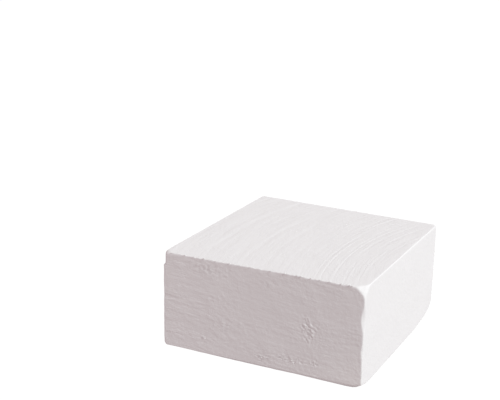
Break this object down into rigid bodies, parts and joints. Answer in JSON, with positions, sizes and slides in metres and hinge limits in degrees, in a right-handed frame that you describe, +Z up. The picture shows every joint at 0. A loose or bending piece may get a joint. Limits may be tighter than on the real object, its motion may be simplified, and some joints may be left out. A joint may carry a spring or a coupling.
{
  "type": "gymnastics chalk block",
  "caption": "Bare pressed block of magnesium carbonate gym chalk, squarish and low, with sawn faces, worn edges, broken corners and a few clinging crumbs and flakes.",
  "frame": {"origin": "centre of the underside that the block rests on", "axes": "+X to the right along the front face, +Y from the front face to the back face, +Z up out of the sawn top"},
  "size_m": [0.0609, 0.0619, 0.0298],
  "materials": {
    "chalk": "matte",
    "chalk_crumbs": "matte",
    "chalk_flakes": "matte"
  },
  "bodies": {
    "root": {"chalk_block": "chalk", "edge_crumbs": "chalk_crumbs", "face_flakes": "chalk_flakes"}
  },
  "joints": []
}
